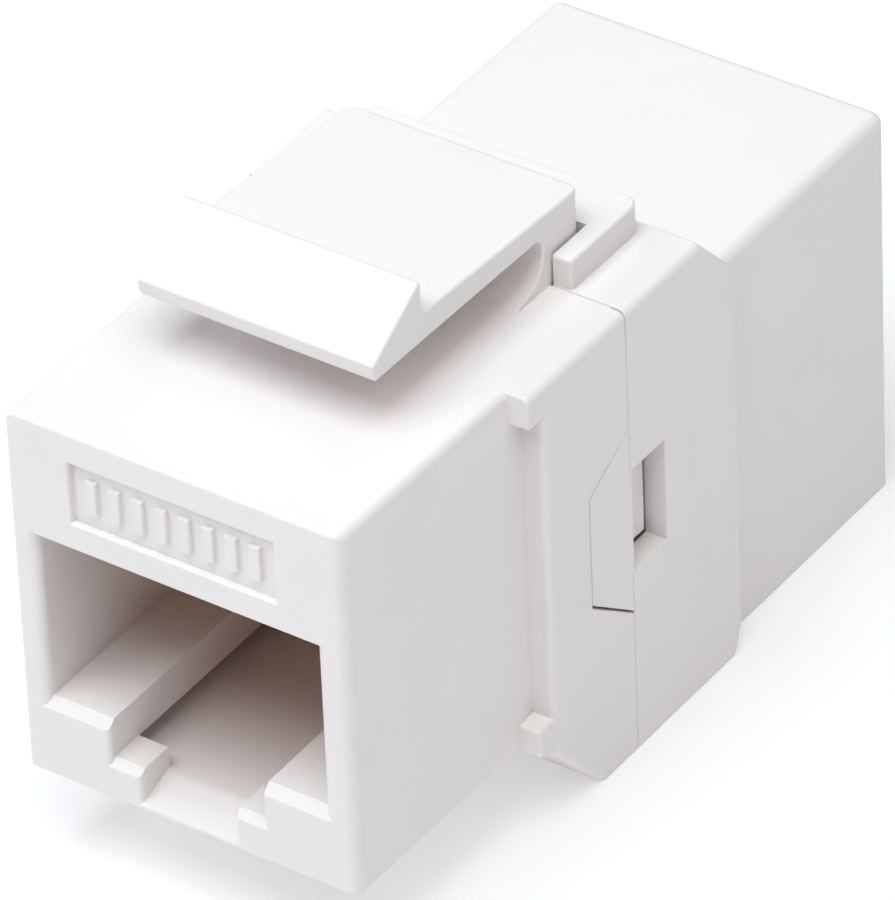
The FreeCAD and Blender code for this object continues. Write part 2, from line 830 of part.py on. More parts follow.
frame = rounded(
    "latch_frame_rounded",
    frame,
    [
        (S["frame_round"], pick(sh, "Z", y=dep(S["frame_back"]))),
        (S["fine_radius"], pick(sh, "Z", y=dep(S["split_rear"] + 0.04)) + pick(sh, "Y", z=hgt(S["frame_top"])) + pick(sh, "X", z=hgt(S["frame_top"]))),
    ],
)
outer = [flange, rear_box, frame]
for side in (-1, 1):
    lo, hi = S["tongue_inner"] * side, wide_half * side
    if side < 0:
        lo, hi = hi, lo
    outer.append(
        prism(
            "snap_loop_" + ("left" if side < 0 else "right"),
            "YZ",
            [
                (dep(S["split_rear"] + 0.3), hgt(S["tongue_low_root"])),
                (dep(S["split_rear"]), hgt(S["tongue_low_root"])),
                (dep(S["tongue_tip"]), hgt(S["tongue_low_tip"])),
                (dep(S["tongue_tip"]), hgt(S["tongue_high_tip"])),
                (dep(S["split_rear"]), hgt(S["tongue_high_root"])),
                (dep(S["split_rear"] + 0.3), hgt(S["tongue_high_root"])),
            ],
            lo,
            hi,
        )
    )
rear_outer = fuse("rear_outer", outer)

tools = [
    # bay behind the split, with room for the board
    box("board_bay", (-S["tongue_inner"], S["tongue_inner"]), (dep(S["split_rear"] - 0.3), dep(18.95)), (hgt(-2.7), hgt(roof))),
    box("roof_core", (-6.6, 6.6), (dep(18.8), dep(20.4)), (hgt(12.6), hgt(roof))),
    box("rear_insert_bay", (-6.15, 6.15), (dep(18.8), dep_rear(S["port_depth"])), (hgt_rear(S["floor_height"]), hgt_rear(S["insert_high"] + 0.1))),
    box("rear_insert_room", (-S["carrier_room"], S["carrier_room"]), (dep_rear(S["port_depth"] + 0.2), dep_rear(S["face_wall"])), (hgt_rear(S["port_top"] - 0.1), hgt_rear(S["insert_high"] + 0.1))),
    # pocket for the latch root
    box("root_pocket", (-S["frame_inner"], S["frame_inner"]), (dep(S["split_rear"] - 0.3), dep(S["frame_pocket"])), (hgt(roof - 0.2), hgt(S["frame_top"] + 1))),
    # rear port
    box("rear_port_space", (-S["port_half"], S["port_half"]), (dep_rear(-1), dep_rear(S["port_depth"])), (hgt_rear(S["ledge_top"]), hgt_rear(S["port_top"]))),
    box("rear_tab_space", (-S["ledge_half"], S["ledge_half"]), (dep_rear(S["tab_depth"]), dep_rear(S["port_depth"])), (hgt_rear(S["floor_height"]), hgt_rear(S["ledge_top"] + 0.1))),
    box("rear_under_ledges", (-S["under_half"], S["under_half"]), (dep_rear(S["tab_depth"]), dep_rear(S["port_depth"])), (hgt_rear(S["floor_height"]), hgt_rear(S["under_top"]))),
    box("rear_tab_gate", (-S["ledge_half"], S["ledge_half"]), (dep_rear(-1), dep_rear(S["tab_depth"] + 0.1)), (hgt_rear(S["tab_top"]), hgt_rear(S["ledge_top"] + 0.1))),
    box("rear_tab_slot", (-S["tab_half"], S["tab_half"]), (dep_rear(-1), dep_rear(S["tab_depth"] + 0.1)), (hgt_rear(S["floor_height"]), hgt_rear(S["tab_top"] + 0.1))),
]
tools.append(mouth("rear_mouth", as_q(0), dep_rear, hgt_rear))
for side in (-1, 1):
    tag = "left" if side < 0 else "right"
    tools.append(nose_over("rear_tab_nose_" + tag, (S["tab_half"] * side, S["ledge_half"] * side), dep_rear, hgt_rear, S["tab_top"], S["tab_slope"]))
    tools.append(box("snap_window_" + tag, ((S["tongue_inner"] - 0.2) * side, (wide_half + 1) * side), (dep(S["split_rear"] + 0.06), dep(S["window_back"])), (hgt(S["window_low"]), hgt(S["window_high"]))))
    # the parting line runs on across the root of the snap loop
    for part, low, high in (("low", S["tongue_low_root"] - 0.2, S["window_low"] - 0.1), ("high", S["window_high"] + 0.1, S["tongue_high_root"] + 0.2)):
        tools.append(
            box(
                "loop_line_%s_%s" % (part, tag),
                ((wide_half - S["seam_depth"]) * side, (wide_half + 1) * side),
                (dep(S["split_front"]), dep(S["split_rear"])),
                (hgt(low), hgt(high)),
            )
        )
rear_cut = cut("rear_cut", rear_outer, tools)
doc.recompute()
sh = rear_cut.Shape
posts = [i for h in (S["ledge_half"], S["tab_half"]) for side in (-1, 1) for i in pick(sh, "Z", x=h * side, y=y_back)]
rear_housing = rounded("rear_rounded", rear_cut, [(S["post_round"], posts)])
rear_housing = tab_back("rear", rear_housing, dep_rear, hgt_rear)
rear_housing = soften(
    "rear_window_edges", rear_housing, S["window_round"],
    *[lambda s, k=k: pick(s, "Z", x=wide_half * k, y=dep(S["window_back"])) for k in (-1, 1)],
    *[lambda s, k=k, h=h: pick(s, "Y", x=wide_half * k, y=(dep(16.6).value, dep(18.8).value), z=hgt(h)) for k in (-1, 1) for h in (S["window_low"], S["window_high"])],
)
rear_housing = soften(
    "rear_loop_edges", rear_housing, S["snap_round"],
    lambda s: sloping(s, x=limits, y=(dep(13.7).value, dep(S["split_rear"]).value), z=(hgt(2).value, hgt(12).value)),
    *[lambda s, k=k: pick(s, "Z", x=wide_half * k, y=(dep(13.7).value, dep(14.2).value)) for k in (-1, 1)],
)
name_part(rear_housing, "rear_housing")


# --------------------------------------------------------------------------
# Latch: arm, wedge lip and the round end that stands for its bending root
def origin_plane(body, role):
    for f in body.Origin.OriginFeatures:
        if f.Role == role:
            return f
    raise RuntimeError("no plane " + role)


def body_sketch(body, name, role, offset=0):
    sk = body.newObject("Sketcher::SketchObject", name)
    sk.AttachmentSupport = [(origin_plane(body, role), "")]
    sk.MapMode = "FlatFace"
    off = as_q(offset)
    sk.AttachmentOffset = FreeCAD.Placement(FreeCAD.Vector(0, 0, off.value), FreeCAD.Rotation())
    if off.value:
        bind(sk, "AttachmentOffset.Base.z", off)
    return sk


latch = doc.addObject("PartDesign::Body", "latch_body")
sk = body_sketch(latch, "latch_outline", "YZ_Plane", (S["latch_right"] - S["latch_left"]) / 2)
k_top = S["hinge_height"] + S["knuckle"]
k_low = S["hinge_height"] - S["knuckle"]
fill_sketch(
    sk,
    [
        (dep(S["hinge_depth"]), hgt(k_top)),
        (dep(S["hinge_depth"]), hgt(k_low)),
        (dep(S["lip_root"]), hgt(S["arm_low_front"])),
        (dep(S["tip_low_depth"]), hgt(S["tip_low"])),
        (dep(S["tip_depth"]), hgt(S["tip_top"])),
        (dep(S["lip_depth"]), hgt(S["lip_top"])),
        (dep(S["lip_depth"] + 0.18), hgt(S["lip_top"] - 0.05)),
        (dep(S["lip_depth"] + 0.1), hgt(S["arm_top_front"])),
    ],
    arc=(0, dep(S["hinge_depth"]), hgt(S["hinge_height"]), S["knuckle"]),
)
pad = latch.newObject("PartDesign::Pad", "latch_pad")
pad.Profile = sk
pad.SideType = "Symmetric"
pad.Length = S["latch_left"].value + S["latch_right"].value
bind(pad, "Length", S["latch_left"] + S["latch_right"])
doc.recompute()
rim = [
    "Edge%d" % i
    for d, z in ((S["tip_depth"], S["tip_top"]), (S["lip_depth"], S["lip_top"]), (S["tip_low_depth"], S["tip_low"]))
    for i in pick(pad.Shape, "X", y=dep(d), z=hgt(z))
]
soft = latch.newObject("PartDesign::Fillet", "latch_edges")
soft.Base = (pad, rim)
soft.Radius = S["fine_radius"].value
bind(soft, "Radius", S["fine_radius"])
latch.Tip = soft
name_part(latch, "keystone_latch")

# --------------------------------------------------------------------------
# Upright board between the ports, with a row of holes for each set of tails
board = doc.addObject("PartDesign::Body", "board_body")
sk = body_sketch(board, "board_outline", "XZ_Plane", -dep(S["board_front"]))
fill_sketch(
    sk,
    [
        (-S["board_half"], hgt(S["board_low"])),
        (S["board_half"], hgt(S["board_low"])),
        (S["board_half"], hgt(S["board_high"])),
        (-S["board_half"], hgt(S["board_high"])),
    ],
)
pad = board.newObject("PartDesign::Pad", "board_pad")
pad.Profile = sk
pad.Length = S["board_thick"].value
bind(pad, "Length", S["board_thick"])
pad.Reversed = True
doc.recompute()
solid_volume = pad.Shape.Volume
sk = body_sketch(board, "board_holes", "XZ_Plane", -dep(S["board_front"]))
count = 0
for height, middle in ((hgt(S["wire_height"]), mid), (hgt_rear(S["wire_height"]), as_q(0))):
    for k in range(8):
        x = middle + S["pitch"] * (k - 3.5)
        sk.addGeometry(Part.Circle(FreeCAD.Vector(x.value, height.value, 0), FreeCAD.Vector(0, 0, 1), S["bore_radius"].value), False)
        for kind, q in (("DistanceX", x), ("DistanceY", height)):
            c = sk.addConstraint(Sketcher.Constraint(kind, count, 3, q.value))
            sk.setExpression("Constraints[%d]" % c, q.text)
        c = sk.addConstraint(Sketcher.Constraint("Radius", count, S["bore_radius"].value))
        sk.setExpression("Constraints[%d]" % c, S["bore_radius"].text)
        count += 1
holes = board.newObject("PartDesign::Pocket", "board_pocket")
holes.Profile = sk
holes.Length = S["board_thick"].value * 2
bind(holes, "Length", S["board_thick"] * 2)
holes.Reversed = False
holes.SideType = "Symmetric"
holes.Length = S["board_thick"].value * 4
bind(holes, "Length", S["board_thick"] * 4)
board.Tip = holes
doc.recompute()
lost = solid_volume - holes.Shape.Volume
want = 16 * math.pi * S["bore_radius"].value ** 2 * S["board_thick"].value
if abs(lost - want) > 0.02 * want:
    raise RuntimeError("board holes: %.4f cut, %.4f expected" % (lost, want))
name_part(board, "circuit_board")

# --------------------------------------------------------------------------
# Inserts: a block over the port with a bore for each wire, a comb of ribs
# under its front end and a wall that closes the port
def middle_of(port):
    """The front port stands a little to the left of the middle of the shell."""
    return mid if port == "front" else as_q(0)


for port, d, z in (("front", dep, hgt), ("rear", dep_rear, hgt_rear)):
    m = middle_of(port)
    blocks = [
        box(port + "_insert_block", (m - S["insert_half"], m + S["insert_half"]), (d(S["nose_of_insert"]), d(S["insert_back"])), (z(S["insert_low"]), z(S["insert_high"]))),
        box(port + "_insert_wall", (m - S["insert_wall_half"], m + S["insert_wall_half"]), (d(S["insert_wall"]), d(S["insert_back"])), (z(S["insert_wall_low"] if port == "front" else S["floor_height"] + 0.05), z(S["insert_low"] + 0.1))),
    ]
    for k in range(9):
        x = m + S["pitch"] * (k - 4)
        blocks.append(
            box(
                "%s_rib_%d" % (port, k + 1),
                (x - S["rib_width"] / 2, x + S["rib_width"] / 2),
                (d(S["nose_of_insert"]), d(S["rib_back"])),
                (z(S["rib_low"]), z(S["insert_low"] + 0.1)),
            )
        )
    solid = fuse(port + "_insert_solid", blocks)
    bores = [
        rod("%s_bore_%d" % (port, k + 1), m + S["pitch"] * (k - 3.5), d(S["nose_of_insert"] - 0.3), d(S["insert_back"] + 0.3), z(S["wire_height"]), S["bore_radius"])
        for k in range(8)
    ]
    name_part(cut(port + "_insert", solid, bores), port + "_contact_carrier")

# --------------------------------------------------------------------------
# Wires. The fixed half of each runs from its tail in the board through the
# bore and turns under the front end of the insert; the free half springs
# back and down into the port from there.
angle = math.radians(S["spring_angle"].value)
turn_depth = S["nose_of_insert"]
turn_height = S["wire_height"] - S["bend_radius"]
r = S["bend_radius"].value
end_depth = turn_depth.value - r * math.sin(angle)
end_height = turn_height.value - r * math.cos(angle)


def lead(port, k, d, z):
    x = middle_of(port) + S["pitch"] * (k - 3.5)
    tail = S["board_front"] + S["board_thick"] + S["tail_reach"] if port == "front" else S["overall_length"] - S["board_front"] + S["tail_reach"]
    path = doc.addObject("Part::Feature", "%s_lead_path_%d" % (port, k + 1))

    def at(depth, height):
        return FreeCAD.Vector(x.value, d(depth).value, z(height).value)

    half = math.pi / 2 + (math.pi - angle) / 2
    turn_end = math.pi / 2 + (math.pi - angle)

    def on_turn(a):
        return at(turn_depth.value + r * math.cos(a), turn_height.value + r * math.sin(a))

    line = Part.LineSegment(at(tail.value, S["wire_height"].value), at(turn_depth.value, S["wire_height"].value))
    arc = Part.Arc(on_turn(math.pi / 2), on_turn(half), on_turn(turn_end))
    path.Shape = Part.Wire([line.toShape(), arc.toShape()])
    ring = doc.addObject("Part::Circle", "%s_lead_ring_%d" % (port, k + 1))
    ring.Radius = S["wire_radius"].value
    bind(ring, "Radius", S["wire_radius"])
    place(ring, x, d(tail), z(S["wire_height"]), FreeCAD.Rotation(FreeCAD.Vector(1, 0, 0), 90))
    s = doc.addObject("Part::Sweep", "%s_lead_%d" % (port, k + 1))
    s.Sections = [ring]
    s.Spine = (path, ["Edge1", "Edge2"])
    s.Solid = True
    s.Frenet = True
    s.Transition = "Right corner"
    return s


def spring(port, k, d, z):
    x = middle_of(port) + S["pitch"] * (k - 3.5)
    gap = S["spring_gap"].value
    c = doc.addObject("Part::Cylinder", "%s_spring_%d" % (port, k + 1))
    c.Radius = S["wire_radius"].value
    c.Height = S["spring_length"].value
    bind(c, "Radius", S["wire_radius"])
    bind(c, "Height", S["spring_length"])
    way = 1 if port == "front" else -1
    direction = FreeCAD.Vector(0, way * math.cos(angle), -math.sin(angle))
    c.Placement = FreeCAD.Placement(
        FreeCAD.Vector(x.value, d(end_depth).value, z(end_height).value) + direction * gap,
        FreeCAD.Rotation(FreeCAD.Vector(0, 0, 1), direction),
    )
    bind(c, "Placement.Base.x", x)
    doc.recompute()
    free = [i for i, e in enumerate(c.Shape.Edges, start=1) if e.Curve.TypeId == "Part::GeomCircle" and e.CenterOfMass.z < z(end_height).value - 1]
    return rounded("%s_spring_end_%d" % (port, k + 1), c, [(S["wire_radius"] * 0.6, free)])


for port, d, z in (("front", dep, hgt), ("rear", dep_rear, hgt_rear)):
    group = doc.addObject("Part::Compound", port + "_leads")
    group.Links = [lead(port, k, d, z) for k in range(8)]
    name_part(group, port + "_contact_leads")
    for k in range(8):
        name_part(spring(port, k, d, z), "%s_contact_%d" % (port, k + 1))

doc.recompute()

# --------------------------------------------------------------------------
bad = [o.Label for o in doc.Objects if "Invalid" in o.State or "Error" in o.State]
for o in PARTS:
    if o.Shape.isNull() or not o.Shape.isValid() or not o.Shape.Solids:
        bad.append(o.Label)
if bad:
    raise RuntimeError("failed objects: " + ", ".join(bad))

os.makedirs("parts", exist_ok=True)
for o in PARTS:
    o.Shape.exportStep("parts/%s.step" % o.Label)
    b = o.Shape.BoundBox
    print(
        "%-24s %2d solid(s) %9.3f mm3  x %.2f %.2f  y %.2f %.2f  z %.2f %.2f"
        % (o.Label, len(o.Shape.Solids), o.Shape.Volume, b.XMin, b.XMax, b.YMin, b.YMax, b.ZMin, b.ZMax)
    )
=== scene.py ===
import math

import bmesh
import bpy
from mathutils import Matrix, Vector


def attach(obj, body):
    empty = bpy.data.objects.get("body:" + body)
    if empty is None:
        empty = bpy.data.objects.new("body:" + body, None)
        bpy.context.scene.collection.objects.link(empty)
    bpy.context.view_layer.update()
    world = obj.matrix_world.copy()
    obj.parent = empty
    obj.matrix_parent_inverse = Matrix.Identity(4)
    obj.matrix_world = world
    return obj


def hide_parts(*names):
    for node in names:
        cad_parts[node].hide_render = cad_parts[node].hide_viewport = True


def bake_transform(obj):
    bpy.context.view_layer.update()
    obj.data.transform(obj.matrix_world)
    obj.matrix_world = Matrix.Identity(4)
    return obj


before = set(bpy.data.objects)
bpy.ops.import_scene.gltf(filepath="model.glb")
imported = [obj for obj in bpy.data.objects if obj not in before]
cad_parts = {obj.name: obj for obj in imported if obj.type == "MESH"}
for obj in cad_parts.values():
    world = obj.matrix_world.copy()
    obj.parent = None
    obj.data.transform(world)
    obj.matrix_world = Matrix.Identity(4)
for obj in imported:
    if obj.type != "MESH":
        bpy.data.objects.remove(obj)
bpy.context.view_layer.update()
scene = bpy.context.scene
MM = 0.001

# Depths are measured back from the front face and heights up from the
# underside of the nose, as on the drawing of the part.
LENGTH = 35.3
LIFT = 3.9
REAR_DROP = 3.2


def P(x, d, h):
    return Vector((x * MM, (d - LENGTH / 2) * MM, (h + LIFT) * MM))


def drawn(co):
    """A point of the model in the drawing's x, depth and height, in mm."""
    return Vector((co.x / MM, co.y / MM + LENGTH / 2, co.z / MM - LIFT))


def link(obj):
    scene.collection.objects.link(obj)
    return obj


def set_material(obj, mat):
    obj.data.materials.clear()
    obj.data.materials.append(mat)


# --------------------------------------------------------------------------
# Materials
def new_material(name):
    m = bpy.data.materials.new(name)
    m.use_nodes = True
    nt = m.node_tree
    nt.nodes.clear()
    out = nt.nodes.new("ShaderNodeOutputMaterial")
    bsdf = nt.nodes.new("ShaderNodeBsdfPrincipled")
    nt.links.new(bsdf.outputs["BSDF"], out.inputs["Surface"])
    return m, nt, bsdf


def noise(nt, vec, scale, detail=3.0, rough=0.5):
    n = nt.nodes.new("ShaderNodeTexNoise")
    n.inputs["Scale"].default_value = scale
    n.inputs["Detail"].default_value = detail
    n.inputs["Roughness"].default_value = rough
    nt.links.new(vec, n.inputs["Vector"])
    return n.outputs["Fac"]


def ramp(nt, fac, stops):
    r = nt.nodes.new("ShaderNodeValToRGB")
    els = r.color_ramp.elements
    while len(els) < len(stops):
        els.new(0.5)
    for e, (pos, col) in zip(els, stops):
        e.position = pos
        e.color = (*col, 1.0)
    nt.links.new(fac, r.inputs["Fac"])
    return r.outputs["Color"]


def map_range(nt, fac, lo, hi):
    n = nt.nodes.new("ShaderNodeMapRange")
    n.inputs["To Min"].default_value = lo
    n.inputs["To Max"].default_value = hi
    nt.links.new(fac, n.inputs["Value"])
    return n.outputs["Result"]


def bump(nt, height, strength, distance):
    b = nt.nodes.new("ShaderNodeBump")
    b.inputs["Strength"].default_value = strength
    b.inputs["Distance"].default_value = distance
    nt.links.new(height, b.inputs["Height"])
    return b


def coords(nt):
    return nt.nodes.new("ShaderNodeTexCoord").outputs["Object"]


def step(nt, value, start, end):
    """0 before start, 1 after end, eased between."""
    n = nt.nodes.new("ShaderNodeMapRange")
    n.interpolation_type = "SMOOTHSTEP"
    n.inputs["From Min"].default_value = start
    n.inputs["From Max"].default_value = end
    nt.links.new(value, n.inputs["Value"])
    return n.outputs["Result"]


def reckon(nt, kind, a, b):
    n = nt.nodes.new("ShaderNodeMath")
    n.operation = kind
    for i, v in enumerate((a, b)):
        if isinstance(v, float):
            n.inputs[i].default_value = v
        else:
            nt.links.new(v, n.inputs[i])
    return n.outputs[0]


def port_shade_mask(nt, vec, mid, low, high, front):
    """How far inside a port a point lies: 0 outside it, 1 well within. It masks the painted shade inside a port."""
    cut = nt.nodes.new("ShaderNodeSeparateXYZ")
    nt.links.new(vec, cut.inputs[0])
    wide = nt.nodes.new("ShaderNodeMath")
    wide.operation = "ABSOLUTE"
    nt.links.new(reckon(nt, "SUBTRACT", cut.outputs["X"], mid * MM), wide.inputs[0])
    inside = step(nt, wide.outputs[0], 6.5 * MM, 6.3 * MM)
    inside = reckon(nt, "MULTIPLY", inside, step(nt, cut.outputs["Z"], (low + LIFT) * MM, (low + 0.3 + LIFT) * MM))
    inside = reckon(nt, "MULTIPLY", inside, step(nt, cut.outputs["Z"], (high + 0.3 + LIFT) * MM, (high + LIFT) * MM))
    end, deep = LENGTH / 2 - 0.3, LENGTH / 2 - 9.0
    if front:
        end, deep = -end, -deep
    return reckon(nt, "MULTIPLY", inside, step(nt, cut.outputs["Y"], end * MM, deep * MM))


def moulded_plastic(name, light, dark, rough_lo, rough_hi, grain=1.0, port=None):
    """Moulded plastic: faint mottling, uneven gloss and a fine spark-eroded
    grain, with painted shade that turns the walls darker and warmer deeper inside a port."""
    m, nt, bsdf = new_material(name)
    vec = coords(nt)
    cloud = noise(nt, vec, 260.0, 3.0, 0.55)
    colour = ramp(nt, cloud, [(0.32, dark), (0.68, light)])
    # painted shade: deeper inside a port the colour is mixed towards a darker, warmer tone (0.76, 0.60, 0.55)
    if port:
        mix = nt.nodes.new("ShaderNodeMix")
        mix.data_type = "RGBA"
        nt.links.new(port_shade_mask(nt, vec, *port), mix.inputs[0])
        nt.links.new(colour, mix.inputs[6])
        mix.inputs[7].default_value = (0.76, 0.60, 0.55, 1)
        colour = mix.outputs[2]
    nt.links.new(colour, bsdf.inputs["Base Color"])
    nt.links.new(map_range(nt, noise(nt, vec, 1500.0, 4.0, 0.6), rough_lo, rough_hi), bsdf.inputs["Roughness"])
    fine = noise(nt, vec, 9000.0, 2.0, 0.5)
    wave = noise(nt, vec, 420.0, 2.0, 0.5)
    b1 = bump(nt, fine, 0.10 * grain, 0.00002)
    b2 = bump(nt, wave, 0.10 * grain, 0.00006)
    nt.links.new(b1.outputs["Normal"], b2.inputs["Normal"])
    nt.links.new(b2.outputs["Normal"], bsdf.inputs["Normal"])
    bsdf.inputs["IOR"].default_value = 1.5
    bsdf.inputs["Specular IOR Level"].default_value = 0.4
    return m


WHITE = ((0.850, 0.812, 0.798), (0.838, 0.798, 0.783), 0.40, 0.52)
white = moulded_plastic("white_moulding", *WHITE)
# copies of the white moulding whose port walls carry painted shade, darker and warmer with depth
front_white_port_shaded = moulded_plastic("front_white_moulding", *WHITE, port=(-0.16, 0.15, 11.9, True))
rear_white_port_shaded = moulded_plastic("rear_white_moulding", *WHITE, port=(0.0, 0.15 - REAR_DROP, 11.9 - REAR_DROP, False))
ivory = moulded_plastic("carrier_moulding", (0.74, 0.71, 0.65), (0.70, 0.67, 0.60), 0.42, 0.58)


def gold_wire():
    m, nt, bsdf = new_material("gold_plating")
    vec = coords(nt)
    streak = nt.nodes.new("ShaderNodeMapping")
    streak.inputs["Scale"].default_value = (3000.0, 260.0, 3000.0)
    nt.links.new(vec, streak.inputs["Vector"])
    lines = noise(nt, streak.outputs["Vector"], 1.0, 3.0, 0.6)
    nt.links.new(ramp(nt, noise(nt, vec, 700.0), [(0.3, (0.80, 0.55, 0.20)), (0.7, (0.92, 0.68, 0.30))]), bsdf.inputs["Base Color"])
    nt.links.new(map_range(nt, lines, 0.16, 0.34), bsdf.inputs["Roughness"])
    b = bump(nt, lines, 0.15, 0.00001)
    nt.links.new(b.outputs["Normal"], bsdf.inputs["Normal"])
    bsdf.inputs["Metallic"].default_value = 1.0
    return m


gold = gold_wire()


def solder_mask():
    m, nt, bsdf = new_material("board_mask")
    vec = coords(nt)
    weave = nt.nodes.new("ShaderNodeTexBrick")
    weave.inputs["Scale"].default_value = 900.0
    weave.inputs["Mortar Size"].default_value = 0.08
    weave.inputs["Color1"].default_value = (0.030, 0.150, 0.070, 1)
    weave.inputs["Color2"].default_value = (0.036, 0.170, 0.080, 1)
    weave.inputs["Mortar"].default_value = (0.024, 0.120, 0.056, 1)
    turn = nt.nodes.new("ShaderNodeMapping")
    turn.inputs["Rotation"].default_value = (math.pi / 2, 0, 0)
    nt.links.new(vec, turn.inputs["Vector"])
    nt.links.new(turn.outputs["Vector"], weave.inputs["Vector"])
    nt.links.new(weave.outputs["Color"], bsdf.inputs["Base Color"])
    nt.links.new(map_range(nt, noise(nt, vec, 1200.0), 0.22, 0.38), bsdf.inputs["Roughness"])
    b = bump(nt, weave.outputs["Fac"], 0.2, 0.00001)
    nt.links.new(b.outputs["Normal"], bsdf.inputs["Normal"])
    return m


mask = solder_mask()

for node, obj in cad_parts.items():
    if node == "circuit_board":
        set_material(obj, mask)
    elif node.endswith("_carrier"):
        set_material(obj, ivory)
    elif "contact" in node:
        set_material(obj, gold)
    elif node == "front_housing":
        set_material(obj, front_white_port_shaded)
    elif node == "rear_housing":
        set_material(obj, rear_white_port_shaded)
    else:
        set_material(obj, white)


# --------------------------------------------------------------------------
# Mesh work
def even_normals(me, limit=38.0):
    """Smooth shading over roundings in which every flat face, however it is
    cut into triangles, keeps its own normal right up to its edge."""
    for p in me.polygons:
        p.use_smooth = True
    count = len(me.polygons)
    normal = [p.normal.copy() for p in me.polygons]
    owner = list(range(count))

    def root(i):
        while owner[i] != i:
            owner[i] = owner[owner[i]]
            i = owner[i]
        return i

    beside = {}
    for p in me.polygons:
        for e in p.edge_keys:
            beside.setdefault(e, []).append(p.index)
    level = math.cos(math.radians(0.6))
    for pair in beside.values():
        if len(pair) == 2 and normal[pair[0]].dot(normal[pair[1]]) > level:
            owner[root(pair[0])] = root(pair[1])
    total = [Vector() for _ in range(count)]
    for p in me.polygons:
        total[root(p.index)] += normal[p.index] * p.area
    around = [set() for _ in me.vertices]
    for p in me.polygons:
        for v in p.vertices:
            around[v].add(root(p.index))
    near = math.cos(math.radians(limit))
    out = []
    for p in me.polygons:
        own = total[root(p.index)]
        n = own.normalized() if own.length > 0 else normal[p.index]
        for v in p.vertices:
            mix = Vector()
            for g in around[v]:
                t = total[g]
                if t.length > 0 and n.dot(t) > near * t.length:
                    mix += t
            out.append(mix.normalized() if mix.length > 0 else n)
    me.normals_split_custom_set(out)


def shaded_copy(node, name):
    """A copy of a moulding with the same surface and even shading over its
    flat faces and roundings."""
    bm = bmesh.new()
    bm.from_mesh(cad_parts[node].data)
    bmesh.ops.remove_doubles(bm, verts=bm.verts, dist=1e-7)
    me = bpy.data.meshes.new(name)
    bm.to_mesh(me)
    bm.free()
    even_normals(me)
    return link(bpy.data.objects.new(name, me))


for node in ("front_housing", "rear_housing"):
    shell = shaded_copy(node, node + "_shell")
    set_material(shell, front_white_port_shaded if node == "front_housing" else rear_white_port_shaded)
    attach(shell, "housing")
    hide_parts(node)


# --------------------------------------------------------------------------
# Latch: arm, wedge lip and bending root in one moulding with the block that
# stands in the wall behind it
def inset_outline(corners, share, steps=4):
    """A closed outline, given as (depth, height, radius, rim) corners in
    clockwise order, with every side drawn in by its own rim times share.
    Gives (depth, height, rim) points, as many for every share."""
    n = len(corners)
    sides = []
    for i in range(n):
        p, q = Vector(corners[i][:2]), Vector(corners[(i + 1) % n][:2])
        t = (q - p).normalized()
        inward = Vector((t.y, -t.x))
        sides.append((p + inward * corners[i][3] * share, t))
    pts = []
    for i in range(n):
        (p, t), (q, u) = sides[i - 1], sides[i]
        rim_in, rim_out = corners[i - 1][3], corners[i][3]
        cross = t.x * u.y - t.y * u.x
        if abs(cross) < 1e-6:
            c = q.copy()
        else:
            w = q - p
            c = p + t * ((w.x * u.y - w.y * u.x) / cross)
        r = corners[i][2]
        if not r:
            pts.append((c.x, c.y, (rim_in + rim_out) / 2))
            continue
        drawn_in = (rim_in + rim_out) / 2 * share
        r = max(r - drawn_in, 0.004) if cross < 0 else r + drawn_in
        half = (math.pi - t.angle(u)) / 2
        reach = r / math.tan(half)
        mid = (u - t).normalized()
        centre = c + mid * (r / math.sin(half))
        s, e = c - t * reach - centre, c + u * reach - centre
        for k in range(steps + 1):
            f = k / steps
            v = s.lerp(e, f).normalized() * r
            pts.append((centre.x + v.x, centre.y + v.y, rim_in + (rim_out - rim_in) * f))
    return pts


def arc(cy, cz, r, a0, a1, steps, rim):
    out = []
    for k in range(steps + 1):
        a = math.radians(a0 + (a1 - a0) * k / steps)
        out.append((cy + r * math.cos(a), cz + r * math.sin(a), 0, rim))
    return out


